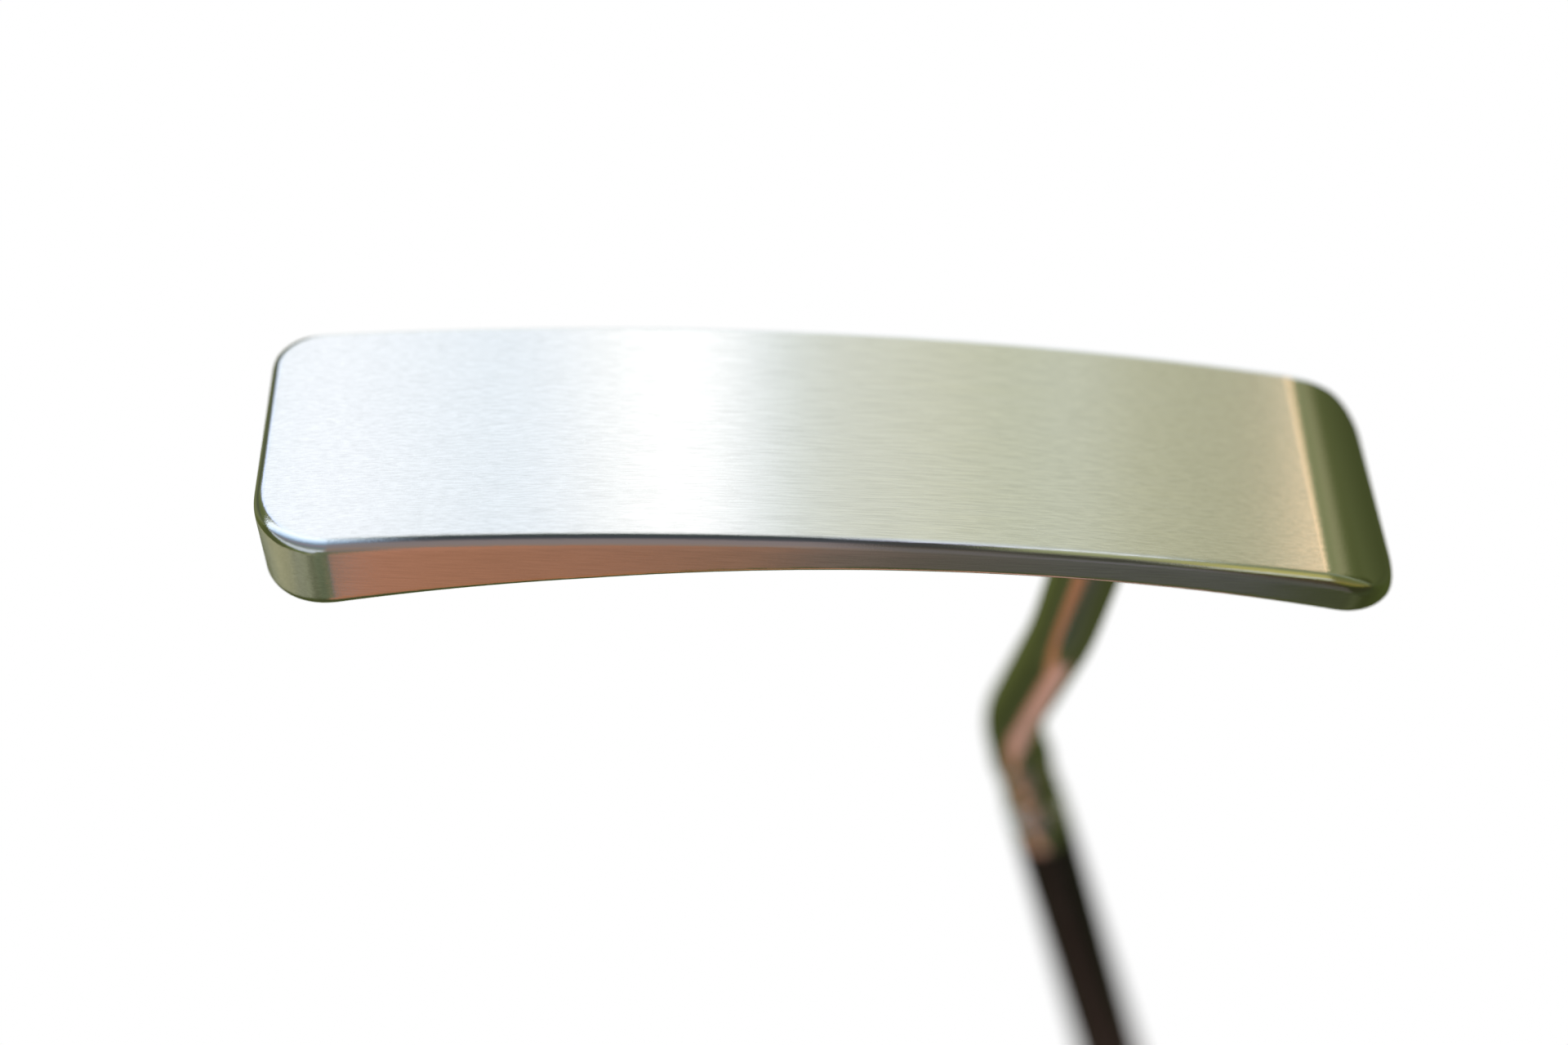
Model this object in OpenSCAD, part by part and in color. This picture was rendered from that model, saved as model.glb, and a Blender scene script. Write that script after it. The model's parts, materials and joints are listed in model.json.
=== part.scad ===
// Right-handed blade golf putter, standing at address, in millimetres.
// Origin: the lowest point of the sole, at mid length and mid depth of the head.
// +X points to the toe, +Y to the target and +Z up. The shaft leans towards the heel.

/* [Head] */
// Length of the head along the leading edge
head_length = 118; // [110:0.5:124]
// How much shorter the head is along its back edge
length_taper = 4; // [2:0.5:8]
// Depth of the sole, from leading edge to back edge
sole_depth = 29.6; // [28:0.2:34]
// Height of the blade at its highest point
blade_height = 26; // [25:0.5:29]
// Thickness of the blade at its top line
top_line = 7; // [6:0.1:8]
// Loft of the striking face, in degrees
loft = 3; // [1:0.5:4]
// Radius of the sole's camber from heel to toe
sole_radius = 415; // [380:5:600]
// Rounding of the two back corners, seen from above
back_corner = 8; // [5:0.5:10]
// Rounding of the two face corners, seen from above
face_corner = 5; // [3:0.5:6]

/* [Flange] */
// Radius of the hollow swept across the top of the flange
scoop_radius = 205; // [195:5:260]
// Distance of the hollow's lowest line from the middle, towards the heel
scoop_shift = 9.5; // [6:0.5:14]
// Thickness of the flange at the lowest line of the hollow
flange_min = 4.1; // [3.4:0.1:4.8]
// Fillet between the flange and the rear face of the blade
flange_fillet = 3.5; // [2:0.5:5]
// Distance from the heel end at which the sole is relieved upwards
heel_relief = 10.4; // [8:0.1:12]
// Radius of that heel relief
relief_radius = 16; // [15:0.5:22]
// Width of the sight line cut in the flange
sight_width = 1.6; // [1:0.1:2.5]

/* [Neck and shaft] */
// Lie angle between the shaft and the ground, in degrees
lie = 70; // [68:0.5:72]
// Where the shaft's line meets the ground, towards the heel from the middle
shaft_foot = 5.5; // [3:0.5:8]
// How far the shaft's line lies in front of the middle of the sole
shaft_forward = 15.7; // [14.5:0.1:17]
// Height of the upper bend, where the neck joins the shaft's line
knee_height = 75; // [72:0.5:80]
// Centreline radius of that bend
bend_radius = 30; // [18:1:34]
// Height of the lower bend, where the neck starts to lean forward
low_bend_height = 45; // [40:0.5:50]
// Centreline radius of the lower bend
low_bend_radius = 40; // [25:1:50]
// Diameter of the lower neck
neck_d = 8.4; // [8:0.1:9]
// Diameter of the collar, which the tip of the shaft meets flush
collar_d = 9.4; // [9.2:0.1:9.8]
// Length of the whole club, along the shaft's line from the ground
club_length = 864; // [838:1:889]
// Outside diameter of the shaft under the grip
shaft_butt_d = 15.1; // [14.6:0.1:15.3]
// Wall thickness of the shaft
shaft_wall = 0.8; // [0.6:0.1:0.9]

/* [Grip] */
// Length of the grip, without its end cap
grip_length = 261; // [245:1:275]
// Diameter of the grip's end cap
cap_d = 26.8; // [26.6:0.1:27.4]
// Thickness of the grip's end cap
cap_thick = 4; // [3:0.5:6]

/* [Hidden] */
$fn = 96;
OVER = 1;                 // how far a cutter runs past what it cuts
GAP = 0.02;               // clearance of a seated joint
JOIN = 0.4;               // how far a straight length of rod runs into the bend
STEP = 0.01;              // and how much thinner it is there, so the two meet cleanly

// Head
half_depth = sole_depth / 2;
half_face = head_length / 2;
half_back = half_face - length_taper / 2;
face_lean = tan(loft);
blade_rear = half_depth - blade_height * face_lean - top_line;
crown_radius = 900;       // gentle rise of the top line between heel and toe
crown_shift = 14;         // the top line's highest point, towards the toe
toe_round = 10;           // upper corner of the blade at the toe
heel_round = 8;           // upper corner of the blade at the heel
toe_roll = 1.5;           // rounding of the sole into the toe end
edge_roll = 1.3;          // rounding of the sole into the back wall and the face
PROUD = 0.02;             // how far a roll starts outside the sole, so that it meets it in a clean line
end_lean = atan((half_face - half_back) / sole_depth);
half_middle = (half_face + half_back) / 2;
relief_x = half_middle - heel_relief - sqrt(2 * relief_radius * PROUD);
toe_x = half_middle - toe_roll + PROUD;
sight_length = 16;
sight_depth = 0.6;
sight_paint = 0.45;       // the fill stays just below the surface
sight_y = -half_depth + 3;
scoop_at_middle = flange_min + scoop_radius - sqrt(pow(scoop_radius, 2) - pow(scoop_shift, 2));

// Neck: upright from the blade, then leaning forward to the knee, then on the shaft's own line
tilt = 90 - lie;
knee_s = knee_height / sin(lie);
knee = [-shaft_foot - knee_height / tan(lie), shaft_forward, knee_height];
neck_r = neck_d / 2;
collar_r = collar_d / 2;
foot_height = blade_height + 0.6;
neck_foot = [knee[0], half_depth - foot_height * face_lean - neck_r - 0.3, foot_height];
low_knee = [knee[0], neck_foot[1], low_bend_height];
leg = low_knee - knee;
leg_length = norm(leg);
leg_across = leg[0] * cos(tilt) + leg[2] * sin(tilt);
leg_along = leg[2] * cos(tilt) - leg[0] * sin(tilt);
bend_turn = atan2(leg[1], leg_across);
bend_angle = atan2(norm([leg_across, leg[1]]), -leg_along);
bend_tangent = bend_radius * tan(bend_angle / 2);
bend_top = knee_s + bend_tangent;
low_angle = atan2(-leg[1], -leg[2]);
low_tangent = low_bend_radius * tan(low_angle / 2);
boss_r = neck_r + 0.7;    // seat for the neck on top of the blade
boss_taper = 15;
tenon_r = 2.3;
tenon_depth = 9;
weld_leg = 0.7;

// Rings and collar, as distances along the shaft's line from the ground
waist_s = bend_top + 3.1;
collar_s = waist_s + 15.2;
shaft_s = collar_s + 7.7;
waist_r = collar_r - 0.75;
spigot_r = collar_r - shaft_wall - 0.15;
spigot_end = shaft_s + 29.5;

// Shaft stations: distance along the line, and outside radius
shaft_end = club_length - cap_thick;
shaft_swell_s = 220;
shaft_swell_r = 6.1;
shaft_full_s = 480;
shaft_butt_r = shaft_butt_d / 2;
bore_r = collar_r - shaft_wall;
bore_end = shaft_s + 33;
bore_open = bore_end + 12;

// Grip
tape_thick = 0.25;
grip_bore_r = shaft_butt_r + tape_thick;
grip_s = shaft_end - grip_length;
mouth_r = 9.3;
flat_low = 8.7;           // distance of the front flat from the shaft's line, at the mouth
flat_high = 10.9;         // and at the cap
cap_r = cap_d / 2;
body_r = cap_r - 0.4;     // the grip's body stays inside its cap
pistol_radius = 300;      // lengthwise curve of the swelling at the back of the grip
pistol_r = 12;
pistol_shift = 4;
pistol_s = shaft_end - 42;
vent_r = 1.2;

// Frame of the shaft: +Z runs up its line, +X is the side the front flat of the grip faces
module on_shaft() {
    translate([-shaft_foot, shaft_forward, 0])
        rotate([0, -tilt, 0])
            children();
}

// Frame of the upper bend: +Z runs up the shaft, +X is the side the neck bends to going down
module on_knee() {
    on_shaft()
        translate([0, 0, knee_s])
            rotate([0, 0, bend_turn])
                children();
}

// Elbow of rod around the corner at the origin: it comes down +Z and leaves towards +X
module rod_bend(angle, radius) {
    translate([radius, 0, radius * tan(angle / 2)])
        rotate([90, 0, 0])
            rotate([0, 0, 180])
                rotate_extrude(angle = angle, $fn = 180)
                    translate([radius, 0])
                        circle(r = neck_r);
}

// Everything in front of the lofted face
module before_face() {
    translate([0, half_depth, 0])
        rotate([loft, 0, 0])
            translate([-100, 0, -50])
                cube([200, 60, 150]);
}

// Plan of the head: a trapezium, narrower at the back, with four round corners
module plan_outline() {
    back_in = back_corner / cos(end_lean) - back_corner * tan(end_lean);
    face_in = face_corner / cos(end_lean) + face_corner * tan(end_lean);
    back_c = [half_back - back_in, -half_depth + back_corner];
    face_c = [half_face - face_in, half_depth - face_corner];
    side = [cos(end_lean), -sin(end_lean)];
    for (way = [1, -1]) {
        translate([way * back_c[0], back_c[1]])
            circle(r = back_corner);
        translate([way * face_c[0], face_c[1]])
            circle(r = face_corner);
    }
    right = [
        [back_c[0], -half_depth],
        back_c + back_corner * side,
        face_c + face_corner * side,
        [face_c[0], half_depth]
    ];
    polygon([
        right[0], right[1], right[2], right[3],
        [-right[3][0], right[3][1]],
        [-right[2][0], right[2][1]],
        [-right[1][0], right[1][1]],
        [-right[0][0], right[0][1]]
    ]);
}

// Height at which a corner circle at x touches the crowned top line from inside
function corner_z(x, radius) =
    blade_height - crown_radius + sqrt(pow(crown_radius - radius, 2) - pow(x - crown_shift, 2));

// How far along x that touching point lies from the circle's centre
function corner_touch(x, radius) = radius * (x - crown_shift) / (crown_radius - radius);

// The head seen from the face: a crowned top line between two round upper corners
module front_outline() {
    toe_cx = half_face - toe_round;
    heel_cx = heel_round - half_face;
    toe_cz = corner_z(toe_cx, toe_round);
    heel_cz = corner_z(heel_cx, heel_round);
    heel_touch = heel_cx + corner_touch(heel_cx, heel_round);
    toe_touch = toe_cx + corner_touch(toe_cx, toe_round);
    polygon([[-half_face, -OVER], [half_face, -OVER], [half_face, toe_cz], [-half_face, heel_cz]]);
    translate([toe_cx, toe_cz])
        circle(r = toe_round);
    translate([heel_cx, heel_cz])
        circle(r = heel_round);
    intersection() {
        translate([crown_shift, blade_height - crown_radius])
            circle(r = crown_radius, $fn = 720);
        translate([heel_touch, -OVER])
            square([toe_touch - heel_touch, blade_height + 2 * OVER]);
    }
}

// Sole and walls: the section of the head turned about the centre of the camber
module cambered_body() {
    translate([0, 0, sole_radius])
        rotate([90, 0, 0])
            rotate([0, 0, -90 - 12])
                rotate_extrude(angle = 24, $fn = 720)
                    camber_section();
}

// Radius from the camber's centre against depth, with both lower edges rolled
module camber_section() {
    inner = sole_radius - blade_height - 8;
    translate([inner, -half_depth])
        square([sole_radius - edge_roll - inner, sole_depth]);
    translate([inner, -half_depth + edge_roll])
        square([sole_radius - inner, sole_depth - 2 * edge_roll]);
    for (y = [-half_depth + edge_roll, half_depth - edge_roll])
        translate([sole_radius - edge_roll, y])
            circle(r = edge_roll);
}

// A block outside a circle, laid along the end of the head: it rolls the sole up beyond x
module sole_roll(x, radius, way) {
    slope = asin(x / sole_radius);
    height = sole_radius - sqrt(sole_radius * sole_radius - x * x);
    centre_x = -(radius - PROUD) * sin(slope);
    centre_z = (radius - PROUD) * cos(slope);
    length = sole_depth + 6 * OVER;
    translate([way * x, 0, height])
        rotate([0, 0, -way * end_lean])
            rotate([atan(sin(slope) * sin(end_lean)), 0, 0])
                translate([0, length / 2, 0])
                    rotate([90, 0, 0])
                        linear_extrude(length)
                            difference() {
                                polygon([
                                    [way * centre_x, centre_z],
                                    [way * sin(slope) * OVER, -cos(slope) * OVER],
                                    [way * (centre_x + radius + 2 * OVER), -2 * OVER],
                                    [way * (centre_x + radius + 2 * OVER), centre_z]
                                ]);
                                translate([way * centre_x, centre_z])
                                    circle(r = radius);
                            }
}

// Hollow over the flange: a wide shallow drum with a filleted rim against the blade
module scoop() {
    translate([-scoop_shift, 0, flange_min + scoop_radius])
        rotate([-90, 0, 0])
            rotate_extrude($fn = 720) {
                translate([0, -half_depth - OVER])
                    square([scoop_radius, half_depth + OVER + blade_rear - flange_fillet]);
                translate([0, -half_depth])
                    square([scoop_radius - flange_fillet, half_depth + blade_rear]);
                translate([scoop_radius - flange_fillet, blade_rear - flange_fillet])
                    circle(r = flange_fillet);
            }
}

// Seat for the neck: a cone that grows out of the back of the blade
module neck_boss() {
    difference() {
        translate(neck_foot) {
            translate([0, 0, -boss_taper - 1])
                cylinder(h = boss_taper, r1 = 0.6, r2 = boss_r);
            translate([0, 0, -1])
                cylinder(h = 1, r = boss_r);
        }
        before_face();
    }
}

module neck_socket() {
    translate(neck_foot - [0, 0, tenon_depth + GAP])
        cylinder(h = tenon_depth + OVER, r = tenon_r + GAP);
}

module sight_groove(depth) {
    translate([-sight_width / 2, sight_y, scoop_at_middle - sight_depth])
        cube([sight_width, sight_length, depth]);
}

// Blade, flange and sole, milled from one block of steel
module head() {
    color([0.80, 0.81, 0.80])
        difference() {
            union() {
                difference() {
                    intersection() {
                        cambered_body();
                        translate([0, 0, -OVER])
                            linear_extrude(blade_height + 3 * OVER)
                                plan_outline();
                        translate([0, half_depth, 0])
                            rotate([90, 0, 0])
                                linear_extrude(sole_depth)
                                    front_outline();
                    }
                    scoop();
                    before_face();
                    sole_roll(relief_x, relief_radius, -1);
                    sole_roll(toe_x, toe_roll, 1);
                }
                neck_boss();
            }
            neck_socket();
            sight_groove(sight_depth + OVER);
        }
}

// Upper neck, outside radius against distance along the shaft's line
module neck_profile() {
    polygon([
        [0, bend_top - JOIN],
        [neck_r - STEP, bend_top - JOIN],
        [neck_r - STEP, bend_top],
        [neck_r + 0.15, waist_s - 1],
        [waist_r, waist_s],
        [waist_r, collar_s],
        [collar_r - 0.3, collar_s],
        [collar_r, collar_s + 0.3],
        [collar_r, shaft_s],
        [spigot_r, shaft_s],
        [spigot_r, spigot_end - 1],
        [spigot_r - 1, spigot_end],
        [0, spigot_end]
    ]);
    intersection() {
        translate([0, waist_s - 2])
            square([collar_r, collar_s - waist_s + 4]);
        union() {
            neck_bead(waist_s + 1, 1.1, collar_r - 0.2);
            neck_bead(waist_s + 3.8, 1.6, collar_r - 0.35);
            neck_bead(waist_s + 9, 2.4, collar_r - 0.35);
            neck_bead(waist_s + 13.4, 1.1, collar_r - 0.2);
        }
    }
}

// Round bead turned on the waist, centred at s
module neck_bead(s, bead_r, outer_r) {
    translate([outer_r - bead_r, s])
        circle(r = bead_r);
}

// Bent rod with turned rings, a collar, a spigot for the shaft and a tenon for the blade
module neck() {
    color([0.72, 0.74, 0.72]) {
        translate(neck_foot) {
            cylinder(h = low_bend_height - foot_height - low_tangent + JOIN, r = neck_r - STEP);
            translate([0, 0, -tenon_depth])
                cylinder(h = tenon_depth + JOIN, r = tenon_r);
        }
        translate(low_knee)
            rotate([-low_angle, 0, 0])
                rotate([0, 0, 90])
                    rod_bend(low_angle, low_bend_radius);
        on_knee() {
            rotate([0, -bend_angle, 0])
                translate([0, 0, low_tangent - leg_length - JOIN])
                    cylinder(h = leg_length - low_tangent - bend_tangent + 2 * JOIN, r = neck_r - STEP);
            rod_bend(bend_angle, bend_radius);
        }
        on_shaft()
            rotate_extrude()
                neck_profile();
    }
}

// Dressed weld bead around the foot of the neck
module neck_weld() {
    color([0.66, 0.67, 0.66])
        difference() {
            translate(neck_foot)
                rotate_extrude()
                    difference() {
                        translate([neck_r, 0])
                            square([weld_leg, weld_leg]);
                        translate([neck_r + weld_leg, weld_leg])
                            circle(r = weld_leg - 0.08);
                    }
            before_face();
        }
}

// Black tapered tube, pushed over the neck's spigot
module shaft() {
    color([0.07, 0.065, 0.06])
        on_shaft()
            rotate_extrude()
                polygon([
                    [bore_r, shaft_s],
                    [collar_r, shaft_s],
                    [shaft_swell_r, shaft_swell_s],
                    [shaft_butt_r, shaft_full_s],
                    [shaft_butt_r, shaft_end],
                    [shaft_butt_r - shaft_wall, shaft_end],
                    [shaft_butt_r - shaft_wall, shaft_full_s],
                    [shaft_swell_r - shaft_wall, shaft_swell_s],
                    [bore_r + 0.35, bore_open],
                    [bore_r, bore_end]
                ]);
}

// Epoxy sleeve that holds the shaft on the spigot
module shaft_bond() {
    color([0.55, 0.50, 0.38])
        on_shaft()
            translate([0, 0, shaft_s + GAP])
                difference() {
                    cylinder(h = spigot_end - shaft_s - 2, r = bore_r - GAP);
                    translate([0, 0, -OVER])
                        cylinder(h = spigot_end - shaft_s + 2 * OVER, r = spigot_r + GAP);
                }
}

// Double-sided tape between shaft and grip
module grip_tape() {
    color([0.86, 0.82, 0.70])
        on_shaft()
            translate([0, 0, grip_s + 3])
                difference() {
                    cylinder(h = grip_length - 6, r = grip_bore_r - GAP);
                    translate([0, 0, -OVER])
                        cylinder(h = grip_length, r = shaft_butt_r + GAP);
                }
}

// Space behind the flat front of the grip
module behind_flat() {
    translate([0, 40, 0])
        rotate([90, 0, 0])
            linear_extrude(80)
                polygon([
                    [-40, grip_s - OVER],
                    [flat_low, grip_s - OVER],
                    [flat_high, shaft_end],
                    [flat_high, club_length + OVER],
                    [-40, club_length + OVER]
                ]);
}

// Moulded rubber grip with a flat front and a pistol swelling at the back
module grip() {
    color([0.09, 0.09, 0.09])
        on_shaft()
            difference() {
                intersection() {
                    union() {
                        rotate_extrude()
                            polygon([
                                [0, grip_s],
                                [mouth_r - 0.8, grip_s],
                                [mouth_r, grip_s + 0.8],
                                [body_r - 1.6, grip_s + grip_length * 0.45],
                                [body_r - 0.3, grip_s + grip_length * 0.75],
                                [body_r, shaft_end - 8],
                                [body_r, shaft_end],
                                [0, shaft_end]
                            ]);
                        translate([-pistol_shift, 0, 0])
                            rotate_extrude()
                                intersection() {
                                    translate([pistol_r - pistol_radius, pistol_s])
                                        circle(r = pistol_radius, $fn = 720);
                                    translate([0, grip_s + 60])
                                        square([pistol_r, shaft_end - grip_s - 60]);
                                }
                    }
                    behind_flat();
                }
                translate([0, 0, grip_s - OVER])
                    cylinder(h = grip_length + 2 * OVER, r = grip_bore_r);
            }
}

// End cap of the grip, with the vent that lets air out as the grip is pushed on
module grip_cap() {
    color([0.12, 0.12, 0.12])
        on_shaft()
            difference() {
                intersection() {
                    translate([0, 0, shaft_end])
                        cylinder(h = cap_thick, r = cap_r);
                    behind_flat();
                }
                translate([0, 0, shaft_end - OVER])
                    cylinder(h = cap_thick + 2 * OVER, r = vent_r);
            }
}

// Paint fill of the sight line
module sight_line() {
    color([0.93, 0.93, 0.90])
        sight_groove(sight_paint);
}

head();
neck();
neck_weld();
shaft();
shaft_bond();
grip_tape();
grip();
grip_cap();
sight_line();
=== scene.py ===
"""Blade putter, held sole up towards the camera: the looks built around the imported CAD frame."""
import json
import math

import bpy
import numpy as np
from mathutils import Matrix, Vector


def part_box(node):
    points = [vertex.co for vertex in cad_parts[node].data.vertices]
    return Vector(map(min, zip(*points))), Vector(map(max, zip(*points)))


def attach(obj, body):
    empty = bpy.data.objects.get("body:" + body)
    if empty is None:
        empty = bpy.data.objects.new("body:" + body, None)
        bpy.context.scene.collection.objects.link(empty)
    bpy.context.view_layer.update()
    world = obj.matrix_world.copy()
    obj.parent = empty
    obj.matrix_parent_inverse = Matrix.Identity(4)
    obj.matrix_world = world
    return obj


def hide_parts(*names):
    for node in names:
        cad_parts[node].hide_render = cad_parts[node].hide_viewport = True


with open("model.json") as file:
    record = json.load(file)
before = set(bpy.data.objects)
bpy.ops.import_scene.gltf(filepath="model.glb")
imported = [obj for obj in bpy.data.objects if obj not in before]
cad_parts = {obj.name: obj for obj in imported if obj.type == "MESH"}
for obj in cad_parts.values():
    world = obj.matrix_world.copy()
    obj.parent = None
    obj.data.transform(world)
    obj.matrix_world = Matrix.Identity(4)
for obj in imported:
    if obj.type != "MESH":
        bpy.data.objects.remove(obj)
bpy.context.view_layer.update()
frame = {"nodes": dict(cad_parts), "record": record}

# ---------------------------------------------------------------- sizes, in millimetres
MM = 1000.0
head_lo, head_hi = (np.array(corner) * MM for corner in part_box("head"))
weld_lo, weld_hi = (np.array(corner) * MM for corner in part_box("neck_weld"))
line_lo, line_hi = (np.array(corner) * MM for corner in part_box("sight_line"))
MOUNTS = {m["name"]: m for m in frame["record"]["mounts"]}

HALF_LENGTH = 59.0         # at the face, before the corners are rounded
HALF_DEPTH = head_hi[1]
BACK_LENGTH = HALF_LENGTH - 2.0
BLADE_TOP = 26.0
TOP_LINE = 7.0
LOFT = math.radians(3)
CAMBER = 415.0
BACK_CORNER, FACE_CORNER = 8.0, 5.0
EDGE_ROLL = 1.3
HEEL_RELIEF, RELIEF_R = 10.4, 16.0
CROWN_R, CROWN_X = 900.0, 14.0
TOE_ROUND, HEEL_ROUND = 10.0, 8.0
SCOOP_R, SCOOP_X, FLANGE_MIN, FILLET = 205.0, -9.5, 4.1, 3.5
LIP_X, LIP = (25.0, 50.0), (1.2, 2.0)   # rounding of the edge round the hollow, larger at the toe
END_SLOPE = (HALF_LENGTH - BACK_LENGTH) / (2 * HALF_DEPTH)
MIDDLE_LENGTH = (HALF_LENGTH + BACK_LENGTH) / 2
SOFT = 0.8                  # width over which the upper corners melt into the walls

SEAT_R, SEAT_TAPER = 4.9, 15.0
FOOT = np.array([(weld_lo[0] + weld_hi[0]) / 2, weld_lo[1] + SEAT_R, weld_lo[2]])
NECK_R, COLLAR_R, TENON_R, TENON_DEPTH = 4.2, 4.7, 2.3, 9.0

AXIS = np.array(MOUNTS["grip_butt"]["axis"])
BUTT_MARK = 862.0           # where the record's grip_butt mount lies along the shaft's line
LINE_FOOT = np.array(MOUNTS["grip_butt"]["pos_m"]) * MM - AXIS * BUTT_MARK
WAIST_S, COLLAR_S, SHAFT_S = 89.175, 104.375, 112.075
CLUB_S, CAP_THICK, GRIP_LENGTH = 864.0, 4.0, 261.0
SHAFT_END = CLUB_S - CAP_THICK
GRIP_S = SHAFT_END - GRIP_LENGTH


# ---------------------------------------------------------------- mesh helpers
def make_piece(name, verts, faces, material, node, normals=None):
    """A smooth mesh piece, given in millimetres, that stands for one CAD node."""
    mesh = bpy.data.meshes.new(name)
    mesh.from_pydata((np.asarray(verts) / MM).tolist(), [], [list(map(int, f)) for f in faces])
    mesh.polygons.foreach_set("use_smooth", [True] * len(mesh.polygons))
    mesh.materials.append(material)
    mesh.update()
    if normals is not None:
        mesh.normals_split_custom_set_from_vertices(np.asarray(normals).tolist())
    piece = bpy.data.objects.new(name, mesh)
    bpy.context.scene.collection.objects.link(piece)
    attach(piece, "root")
    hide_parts(node)
    return piece


def ring_faces(rings, count, closed=False):
    """Quads between rings of count points each; closed joins the last ring to the first."""
    faces = []
    for i in range(rings if closed else rings - 1):
        a, b = i * count, (i + 1) % rings * count
        for j in range(count):
            k = (j + 1) % count
            faces.append((a + j, a + k, b + k, b + j))
    return faces


def side_axes(direction, hint):
    """Two unit vectors across a direction; the first lies as near to hint as it can."""
    first = hint - direction * (hint @ direction)
    first = first / np.linalg.norm(first)
    return first, np.cross(direction, first)


# ---------------------------------------------------------------- head: a distance field and its skin
def round_max(a, b, r):
    """Where two solids meet, with a fillet of radius r on the edge."""
    return np.minimum(np.maximum(a, b), -r) + np.hypot(np.maximum(a + r, 0), np.maximum(b + r, 0))


def blend_min(a, b, k):
    h = np.maximum(k - np.abs(a - b), 0) / k
    return np.minimum(a, b) - h * h * k / 4


def blend_max(a, b, k):
    return -blend_min(-a, -b, k)


def relief_start(y):
    """Where the heel relief begins, along its line parallel to the heel end."""
    return MIDDLE_LENGTH - HEEL_RELIEF + y * END_SLOPE


def sole_field(x, y, z):
    """The camber, with its heel end rolled up by a circle that touches it where the relief begins."""
    camber = np.hypot(x, z - CAMBER) - CAMBER
    lean = np.arcsin(relief_start(y) / CAMBER)
    out = -x - relief_start(y) + RELIEF_R * np.sin(lean)
    above = z - CAMBER + (CAMBER - RELIEF_R) * np.cos(lean)
    beyond = out * np.cos(lean) + above * np.sin(lean) > 0
    return np.where(beyond, np.hypot(out, np.minimum(above, 0)) - RELIEF_R, camber)


def groove_field(x, y, z):
    """Distance to the slot cut for the sight line, open at its top."""
    dx = np.abs(x - (line_lo[0] + line_hi[0]) / 2) - (line_hi[0] - line_lo[0]) / 2
    dy = np.abs(y - (line_lo[1] + line_hi[1]) / 2) - (line_hi[1] - line_lo[1]) / 2
    return np.maximum(np.maximum(dx, dy), line_lo[2] - z)


def head_field(x, y, z):
    taper = math.atan(END_SLOPE)
    allow = SOFT / 4 - 0.03
    side = (np.abs(x) - MIDDLE_LENGTH) * math.cos(taper) - y * math.sin(taper) - allow
    face = (y - HALF_DEPTH) * math.cos(LOFT) + z * math.sin(LOFT) - allow
    back = -HALF_DEPTH - y
    top = np.hypot(x - CROWN_X, z - BLADE_TOP + CROWN_R) - CROWN_R
    wall = round_max(round_max(side, back, BACK_CORNER), face, FACE_CORNER)
    low = round_max(wall, sole_field(x, y, z), EDGE_ROLL)
    high = round_max(side, top, np.where(x > 0, TOE_ROUND, HEEL_ROUND))
    body = blend_max(low, round_max(high, face, 0.6), SOFT)

    blade_rear = HALF_DEPTH - BLADE_TOP * math.tan(LOFT) - TOP_LINE
    drum = np.hypot(x - SCOOP_X, z - FLANGE_MIN - SCOOP_R) - SCOOP_R
    body = round_max(body, -round_max(drum, y - blade_rear, FILLET), np.interp(x, LIP_X, LIP))

    off = np.hypot(x - FOOT[0], y - FOOT[1])
    grow = (SEAT_R - 0.6) / SEAT_TAPER
    cone = (off - SEAT_R - grow * (z - FOOT[2] + 1)) / math.hypot(1, grow)
    seat = round_max(np.maximum(cone, off - SEAT_R), z - FOOT[2], 0.25)
    seat = round_max(seat, face + allow, 0.4)
    body = blend_min(body, seat, 1.6)

    socket = np.maximum(off - TENON_R - 0.03, FOOT[2] - TENON_DEPTH - z)
    return round_max(np.maximum(body, -socket), -groove_field(x, y, z), 0.12)


def gradient(field, points, reach=0.02):
    slopes = []
    for axis in range(3):
        shift = np.zeros(3)
        shift[axis] = reach
        slopes.append((field(*(points + shift).T) - field(*(points - shift).T)) / (2 * reach))
    return np.stack(slopes, 1)


def skin(field, lo, hi, step):
    """Surface nets: one point per grid cell the surface crosses, moved onto the surface."""
    axes = [np.arange(lo[i] - 2.3 * step, hi[i] + 2.3 * step, step) for i in range(3)]
    inside = field(*np.meshgrid(*axes, indexing="ij")) < 0
    cells = tuple(n - 1 for n in inside.shape)
    filled = np.zeros(cells, np.int8)
    for i in (0, 1):
        for j in (0, 1):
            for k in (0, 1):
                filled += inside[i:i + cells[0], j:j + cells[1], k:k + cells[2]]
    mixed = (filled > 0) & (filled < 8)
    number = np.full(cells, -1)
    number[mixed] = np.arange(mixed.sum())
    where = np.argwhere(mixed)
    points = np.stack([axes[i][where[:, i]] + step / 2 for i in range(3)], 1)
    for _ in range(5):
        slope = gradient(field, points)
        size = np.maximum((slope ** 2).sum(1), 0.2)
        points -= slope * (field(*points.T) / size)[:, None]
    quads = []
    for axis in range(3):
        turned = np.moveaxis(inside, axis, 0)
        ids = np.moveaxis(number, axis, 0)
        i, j, k = np.nonzero(turned[:-1] != turned[1:])
        quad = np.stack([ids[i, j - 1, k - 1], ids[i, j, k - 1], ids[i, j, k], ids[i, j - 1, k]], 1)
        flip = turned[i, j, k] == (axis == 1)
        quad[flip] = quad[flip][:, ::-1]
        quads.append(quad)
    slope = gradient(field, points)
    normals = slope / np.linalg.norm(slope, axis=1)[:, None]
    return points, np.concatenate(quads), normals


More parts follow.
